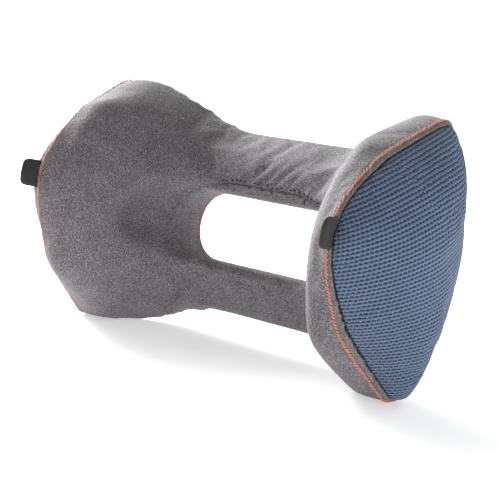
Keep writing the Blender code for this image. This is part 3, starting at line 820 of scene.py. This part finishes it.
def zip_coil(name, sign, offset):
    """A row of nylon coil teeth, each a loop whose nose reaches into the other row."""
    inner = WAIST_SETBACK - TAPE_PLY + 0.0003
    count = int(2 * ZIP_HALF / TOOTH_PITCH) - 1
    turn = np.linspace(0, 2 * math.pi, TOOTH_STEPS, endpoint=False)
    angle = np.arange(WIRE_SIDES) * 2 * math.pi / WIRE_SIDES
    side = np.array([1.0, 0, 0])
    verts, faces = [], []
    for k in range(count):
        x0 = -ZIP_HALF + (k + 0.75 + offset) * TOOTH_PITCH
        loop = []
        for t in turn:
            across = TOOTH_REACH / 2 * (1 + math.cos(t)) * 0.96
            lift = TOOTH_HEIGHT / 2 + (TOOTH_HEIGHT / 2 - WIRE) * math.sin(t)
            lead = 0.00018 * math.sin(t)
            loop.append(np.array([x0 + lead, inner + lift, ZIP_Z + sign * (across - TAPE_GAP)]))
        start = len(verts)
        for j, p in enumerate(loop):
            tangent = unit(loop[(j + 1) % TOOTH_STEPS] - loop[j - 1])
            other = np.cross(tangent, side)
            fat = NOSE_FAT if math.cos(turn[j]) < -0.7 else 1.0
            for a in angle:
                verts.append(p + WIRE * (fat * math.cos(a) * side + math.sin(a) * other))
        for j in range(TOOTH_STEPS):
            for s in range(WIRE_SIDES):
                t = (s + 1) % WIRE_SIDES
                a, b = start + j * WIRE_SIDES, start + (j + 1) % TOOTH_STEPS * WIRE_SIDES
                faces.append((a + s, a + t, b + t, b + s))
    mesh = mesh_of(name, verts, faces)
    faced_out(mesh)
    return linked(name + "_teeth", mesh)


# ---- materials ----

class Signal:
    """A socket of a material's nodes, with Python's operators on it."""

    def __init__(self, look, socket):
        self.look, self.socket = look, socket

    def maths(self, operation, *values):
        return self.look.node("ShaderNodeMath", {"operation": operation}, dict(enumerate(values)))

    def __add__(self, other):
        return self.maths("ADD", self, other)

    def __sub__(self, other):
        return self.maths("SUBTRACT", self, other)

    def __rsub__(self, other):
        return self.maths("SUBTRACT", other, self)

    def __mul__(self, other):
        return self.maths("MULTIPLY", self, other)

    __radd__ = __add__
    __rmul__ = __mul__

    def wave(self):
        return self.maths("SINE", self)

    def size(self):
        return self.maths("ABSOLUTE", self)

    def least(self, other):
        return self.maths("MINIMUM", self, other)

    def most(self, other):
        return self.maths("MAXIMUM", self, other)

    def ramp(self, low, high, start=0.0, end=1.0):
        """Smoothly from start to end as this goes from low to high."""
        settings = {"interpolation_type": "SMOOTHSTEP"}
        return self.look.node("ShaderNodeMapRange", settings, {0: self, 1: low, 2: high, 3: start, 4: end})


class Look:
    """A material under construction: its nodes are made by one method."""

    def __init__(self, name, roughness=0.9, sheen=0.0, **fixed):
        self.material = bpy.data.materials.new(name)
        self.material.use_nodes = True
        self.tree = self.material.node_tree
        self.shader = self.tree.nodes["Principled BSDF"]
        self.shader.inputs["Roughness"].default_value = roughness
        self.shader.inputs["Sheen Weight"].default_value = sheen
        for socket, value in fixed.items():
            self.shader.inputs[socket.replace("_", " ")].default_value = value

    def node(self, kind, settings=(), sockets=(), output=0):
        """A node of any kind, its settings made first, then its sockets given values or links."""
        made = self.tree.nodes.new(kind)
        for name, value in dict(settings).items():
            if name == "stops":
                ramp = made.color_ramp
                while len(ramp.elements) < len(value):
                    ramp.elements.new(1.0)
                for element, (place, colour) in zip(ramp.elements, value):
                    element.position, element.color = place, (*colour, 1)
            else:
                setattr(made, name, value)
        for name, value in dict(sockets).items():
            if isinstance(value, Signal):
                self.tree.links.new(value.socket, made.inputs[name])
            else:
                made.inputs[name].default_value = value
        return Signal(self, made.outputs[output])

    def place(self):
        return self.node("ShaderNodeTexCoord", output="Object")

    def cloth(self):
        return self.node("ShaderNodeAttribute", {"attribute_name": "cloth"}, output="Vector")

    def axes(self, vector):
        split = self.tree.nodes.new("ShaderNodeSeparateXYZ")
        self.tree.links.new(vector.socket, split.inputs[0])
        return [Signal(self, out) for out in split.outputs]

    def vector(self, operation, *values, output=0):
        return self.node("ShaderNodeVectorMath", {"operation": operation}, dict(enumerate(values)), output)

    def noise(self, vector, scale, detail=2.0, roughness=0.5):
        sockets = {"Vector": vector, "Scale": scale, "Detail": detail, "Roughness": roughness}
        return self.node("ShaderNodeTexNoise", {}, sockets)

    def colours(self, value, *stops):
        return self.node("ShaderNodeValToRGB", {"stops": stops}, {0: value})

    def mixed(self, share, first, second):
        made = self.tree.nodes.new("ShaderNodeMix")
        made.data_type = "RGBA"
        for socket, value in zip((made.inputs[0], made.inputs[6], made.inputs[7]), (share, first, second)):
            if isinstance(value, Signal):
                self.tree.links.new(value.socket, socket)
            else:
                socket.default_value = (*value, 1) if isinstance(value, tuple) else value
        return Signal(self, made.outputs[2])

    def feed(self, socket, signal):
        self.tree.links.new(signal.socket, self.shader.inputs[socket])

    def bump(self, height, distance, strength):
        sockets = {"Height": height, "Distance": distance, "Strength": strength}
        self.feed("Normal", self.node("ShaderNodeBump", {}, sockets, "Normal"))


def heather_knit(name, lining=False):
    """Grey yarns of many shades, knitted fine, with a faint purple cast, and painted shade in the seam over
    the slot and at the lining's join.
    """
    look = Look(name, 0.92, 0.15, Sheen_Roughness=0.45)
    place = look.place()
    stretched = look.vector("MULTIPLY", place, (0.6, 1.0, 0.8))
    fleck = look.noise(stretched, 1000, 3, 0.7)
    fine = look.noise(place, 2300, 1, 0.5)
    broad = look.noise(place, 60, 2, 0.5)
    shade = fleck * 0.62 + fine * 0.30 + broad * 0.08
    colour = look.colours(shade, *KNIT_SHADES)
    x, s, past_seam = look.axes(look.cloth())
    # painted shade: the knit darkens in the seam's crease over the slot and at the lining's join
    off_seam = past_seam.size().ramp(0.0002, 0.0011)
    off_middle = x.size().ramp(0.050, 0.080)
    below = s.ramp(0.03, 0.01)
    out_of_crease_shade = off_seam.most(off_middle).most(below)
    if lining:
        join = (x - BUTT_X).size().ramp(0.0004, 0.0011)
        out_of_crease_shade = out_of_crease_shade.least(join.most(s.ramp(0.004, 0.0)))
    look.feed("Base Color", look.mixed(out_of_crease_shade, KNIT_CREASE_SHADE, colour))
    courses = (s * 4800.0 + fine * 2.0).wave()
    wales = (x * 3900.0).wave()
    look.bump(courses * 0.25 + wales * 0.2 + fleck * 0.9, 0.0005, 0.6)
    return look.material


def spacer_mesh():
    """Blue air mesh: slanting rows of short open holes between raised ribs, the holes painted dark as the
    shade inside them, and painted shade in the crease of a seam.
    """
    look = Look("spacer_mesh", 0.75, 0.1, Sheen_Roughness=0.4)
    cloth = look.cloth()
    sockets = {"Vector": cloth, "Angle": -HOLE_SLANT}
    turned = look.node("ShaderNodeVectorRotate", {"rotation_type": "Z_AXIS"}, sockets)
    grid = look.vector("MULTIPLY", turned, (1 / HOLE_PITCH, 0.5 / ROW_PITCH, 0.0))
    stretch = (HOLE_PITCH / HOLE_SIZE[0], 2 * ROW_PITCH / HOLE_SIZE[1], 0.0)
    nearest = None
    for shift in (0.0, 0.5):
        moved = look.vector("ADD", grid, (shift, shift, 0.0))
        within = look.vector("SUBTRACT", look.vector("FRACTION", moved), (0.5, 0.5, 0.0))
        reach = look.vector("LENGTH", look.vector("MULTIPLY", within, stretch), output="Value")
        nearest = reach if nearest is None else nearest.least(reach)
    solid = nearest.ramp(0.24, 0.52)
    place = look.place()
    yarn = look.noise(place, 1500, 2, 0.5)
    broad = look.noise(place, 35, 2, 0.5)
    x, y, _ = look.axes(turned)
    _, _, past_seam = look.axes(cloth)
    ribs = (y * (2 * math.pi / ROW_PITCH)).wave()
    twill = (x * (4 * math.pi / HOLE_PITCH) + y * (2 * math.pi / ROW_PITCH)).wave()
    # the holes are painted dark, as the shade inside them
    shade = solid * 0.46 + yarn * 0.26 + broad * 0.10 + ribs * 0.07 + twill * 0.07 * solid + 0.01
    colour = look.colours(shade, *MESH_SHADES)
    # painted shade: the mesh darkens in the crease beside a seam
    out_of_crease_shade = past_seam.ramp(0.0007, 0.0018)
    look.feed("Base Color", look.mixed(out_of_crease_shade, MESH_CREASE_SHADE, colour))
    look.bump(solid + twill * 0.10 * solid + ribs * 0.25 + yarn * 0.25, 0.0008, 0.8)
    return look.material


def twisted_thread(name, dark, light):
    """Two-ply sewing thread."""
    look = Look(name, 0.55, 0.1, Sheen_Roughness=0.3)
    along, around, _ = look.axes(look.cloth())
    twist = (along * (2 * math.pi / 0.0016) + around * (4 * math.pi)).wave()
    fuzz = look.noise(look.place(), 2500, 1, 0.5)
    shade = twist * 0.30 + fuzz * 0.5 + 0.25
    look.feed("Base Color", look.mixed(shade.ramp(0.1, 0.9), dark, light))
    look.bump(twist, 0.00025, 0.8)
    return look.material


def black_webbing():
    """Woven polyester webbing with fine cross ribs."""
    look = Look("black_webbing", 0.65, 0.08, Sheen_Roughness=0.4)
    along, across, _ = look.axes(look.cloth())
    ribs = (along * (2 * math.pi / 0.0012)).wave()
    ends = (across * (2 * math.pi / 0.0016)).wave()
    weave = ribs * ends
    fuzz = look.noise(look.place(), 1800, 2, 0.6)
    shade = weave * 0.2 + fuzz * 0.8
    look.feed("Base Color", look.mixed(shade.ramp(0.15, 0.85), (0.006, 0.006, 0.007), (0.035, 0.034, 0.036)))
    look.bump(ribs * 0.5 + weave * 0.5 + fuzz * 0.3, 0.0004, 0.7)
    return look.material


def coil_nylon():
    look = Look("coil_nylon", 0.35)
    wear = look.noise(look.place(), 300, 2, 0.5)
    look.feed("Base Color", look.mixed(wear.ramp(0.3, 0.7), (0.012, 0.012, 0.014), (0.03, 0.03, 0.033)))
    look.feed("Roughness", wear.ramp(0.2, 0.8, 0.28, 0.45))
    return look.material


def gunmetal():
    """Dark plated zinc, brushed, a little brighter where hands rub it."""
    look = Look("gunmetal", 0.3, Metallic=1.0)
    place = look.place()
    brushed = look.noise(look.vector("MULTIPLY", place, (60.0, 900.0, 900.0)), 2.5, 3, 0.6)
    rubbed = look.noise(place, 240, 2, 0.5)
    look.feed("Base Color", look.mixed(rubbed.ramp(0.35, 0.75), (0.10, 0.10, 0.11), (0.26, 0.26, 0.27)))
    look.feed("Roughness", brushed.ramp(0.2, 0.8, 0.22, 0.42))
    look.bump(brushed, 0.0001, 0.3)
    return look.material


def memory_foam():
    look = Look("memory_foam", 0.9)
    place = look.place()
    cells = look.noise(place, 900, 3, 0.7)
    look.feed("Base Color", look.mixed(cells, (0.62, 0.56, 0.42), (0.86, 0.82, 0.68)))
    look.bump(cells, 0.0006, 0.6)
    return look.material


# ---- the scene ----

def stood(made):
    """Leans a piece drawn upright back onto the floor, and keeps it above it."""
    made.data.transform(STANCE)
    points = coordinates(made.data)
    points[:, 2] = np.maximum(points[:, 2], FLOOR_GAP)
    move_to(made.data, points)
    return made


def dressed(made, look, slot, *nodes, fill=None):
    """Gives a piece its material and its body, and hides the CAD nodes that it stands for; its finish slot is
    not used.
    """
    made.data.materials.clear()
    made.data.materials.append(look)
    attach(made, "cushion")
    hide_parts(*nodes)
    return made


def area_light(name, place, target, size, power):
    light = bpy.data.lights.new(name, "AREA")
    light.shape, light.size, light.size_y = "RECTANGLE", *size
    light.energy = power
    made = linked(name, light)
    made.location = place
    made.rotation_euler = (Vector(target) - Vector(place)).to_track_quat("-Z", "Y").to_euler()


def surroundings():
    """A world that is white to the camera and dimmer as a light."""
    world = bpy.data.worlds.new("studio")
    world.use_nodes = True
    nodes, links = world.node_tree.nodes, world.node_tree.links
    lit, seen = nodes["Background"], nodes.new("ShaderNodeBackground")
    for background, strength in ((lit, SKY), (seen, 1.0)):
        background.inputs["Color"].default_value = (1, 1, 1, 1)
        background.inputs["Strength"].default_value = strength
    path, chosen = nodes.new("ShaderNodeLightPath"), nodes.new("ShaderNodeMixShader")
    links.new(path.outputs["Is Camera Ray"], chosen.inputs[0])
    links.new(lit.outputs[0], chosen.inputs[1])
    links.new(seen.outputs[0], chosen.inputs[2])
    links.new(chosen.outputs[0], nodes["World Output"].inputs[0])
    bpy.context.scene.world = world


def paper_floor():
    bm = bmesh.new()
    bmesh.ops.create_grid(bm, x_segments=1, y_segments=1, size=30)
    mesh = bpy.data.meshes.new("floor")
    bm.to_mesh(mesh)
    bm.free()
    floor = linked("floor", mesh)
    paper = Look("paper", 0.9, Emission_Color=(1, 1, 1, 1), Emission_Strength=PAPER_GLOW)
    paper.shader.inputs["Base Color"].default_value = (PAPER_WHITE, PAPER_WHITE, PAPER_WHITE, 1)
    mesh.materials.append(paper.material)


def studio():
    bpy.context.scene.view_settings.view_transform = "Standard"
    surroundings()
    paper_floor()
    light = bpy.data.lights.new("left_sky", "SUN")
    light.energy, light.angle = SUN_POWER, SUN_SPREAD
    linked("left_sky", light).rotation_euler = Vector(SUN_PLACE).to_track_quat("Z", "Y").to_euler()
    for window in WINDOWS:
        area_light(*window)


def camera():
    azimuth, elevation = math.radians(CAMERA_AZIMUTH), math.radians(CAMERA_ELEVATION)
    level = math.cos(elevation)
    back = Vector((math.sin(azimuth) * level, -math.cos(azimuth) * level, math.sin(elevation)))
    lens = bpy.data.cameras.new("camera")
    lens.sensor_width = 36
    lens.lens = CAMERA_LENS
    lens.shift_x, lens.shift_y = CAMERA_SHIFT
    lens.clip_start, lens.clip_end = 0.05, 100
    made = linked("camera", lens)
    made.location = MIDDLE + back * CAMERA_DISTANCE
    turn = back.to_track_quat("Z", "Y").to_matrix() @ Matrix.Rotation(math.radians(CAMERA_ROLL), 3, "Z")
    made.rotation_euler = turn.to_euler()
    bpy.context.scene.camera = made


def cover_pieces():
    """The cover's five panels; returns the skin that they are cut from, and its surface to sew on."""
    knit, lining_knit = heather_knit("heather_knit"), heather_knit("lining_knit", True)
    mesh_cloth = spacer_mesh()
    skin = cushion_skin("skin", SWELL, VOXEL)
    puffed(skin)
    refined(skin)
    panels = Panels(skin)
    front_guide, end_guide = cloth_guide()
    plan = (
        ("knit_front", "front", "front_cover", knit, "knit", front_guide, 0.7),
        ("knit_lining", "lining", "slot_lining", lining_knit, "knit", front_guide, None),
        ("mesh_back", "back", "back_panel", mesh_cloth, "mesh", None, 0.6),
        ("mesh_left_end", "left_end", "left_end_panel", mesh_cloth, "mesh", end_guide, 0.7),
        ("mesh_right_end", "right_end", "right_end_panel", mesh_cloth, "mesh", end_guide, 0.7),
    )
    for name, part, node, look, slot, guide, fill in plan:
        made = panels.panel(name, part)
        if guide is None:  # the back is nearly flat
            points = coordinates(made.data)
            store(made.data, np.stack([points[:, 0], points[:, 2], -past_end_seam(points)], axis=1))
        else:
            lay_cloth(made.data, guide, past_end_seam if part.endswith("end") else past_lining)
        dressed(stood(made), look, slot, node, fill=fill)
    return skin, panels


def sewing(panels):
    orange = twisted_thread("orange_thread", (0.46, 0.13, 0.075), (0.80, 0.33, 0.215))
    rows = (
        ("left_end_stitches", end_stitch_path(-1), "left_topstitch", False),
        ("right_end_stitches", end_stitch_path(1), "right_topstitch", False),
        ("upper_back_stitches", rear_stitch_path(1), "upper_back_topstitch", False),
        ("lower_back_stitches", rear_stitch_path(-1), "lower_back_topstitch", False),
        ("slot_stitches", slot_stitch_path(), "slot_topstitch", True),
    )
    for name, path, node, closed in rows:
        dressed(stood(stitches(name, path, panels, closed)), orange, "thread", node)
    grey = twisted_thread("grey_thread", (0.012, 0.011, 0.012), (0.06, 0.054, 0.058))
    made = stitches("lining_seam_stitches", lining_seam_path(), panels, pitch=LINING_PITCH, slant=0.0)
    dressed(stood(made), grey, "thread")


def foam_piece():
    foam = cushion_skin("foam_body", FOAM_INSET, COARSE_VOXEL, FOAM_INSET)
    end = past_end_seam(coordinates(foam.data))
    sunk(foam.data, groove(end, SEAM_DEPTH + MESH_STEP, 2 * MESH_STEP_WIDTH))
    dressed(stood(foam), memory_foam(), "foam", "foam_core", fill=0.8)
    foam.data.shade_smooth()


def trims():
    webbing = black_webbing()
    for name, side in (("left_tab", -1), ("right_tab", 1)):
        dressed(stood(webbing_tab(name, side)), webbing, "webbing", name)
    nylon = coil_nylon()
    for name, sign, offset in (("upper", 1, 0.0), ("lower", -1, 0.5)):
        tape, coil = f"{name}_zip_tape", f"{name}_zip_coil"
        dressed(stood(zip_tape(tape, sign)), webbing, "webbing", tape)
        dressed(stood(zip_coil(coil, sign, offset)), nylon, "zip_coil", coil)
    metal = gunmetal()
    for name in ("zip_slider", "zip_pull", "zip_closed_stop", "zip_open_stop"):
        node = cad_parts[name]
        for place in node.material_slots:
            place.material = metal


camera()
studio()
skin, panels = cover_pieces()
sewing(panels)
foam_piece()
trims()
bpy.data.objects.remove(skin, do_unlink=True)
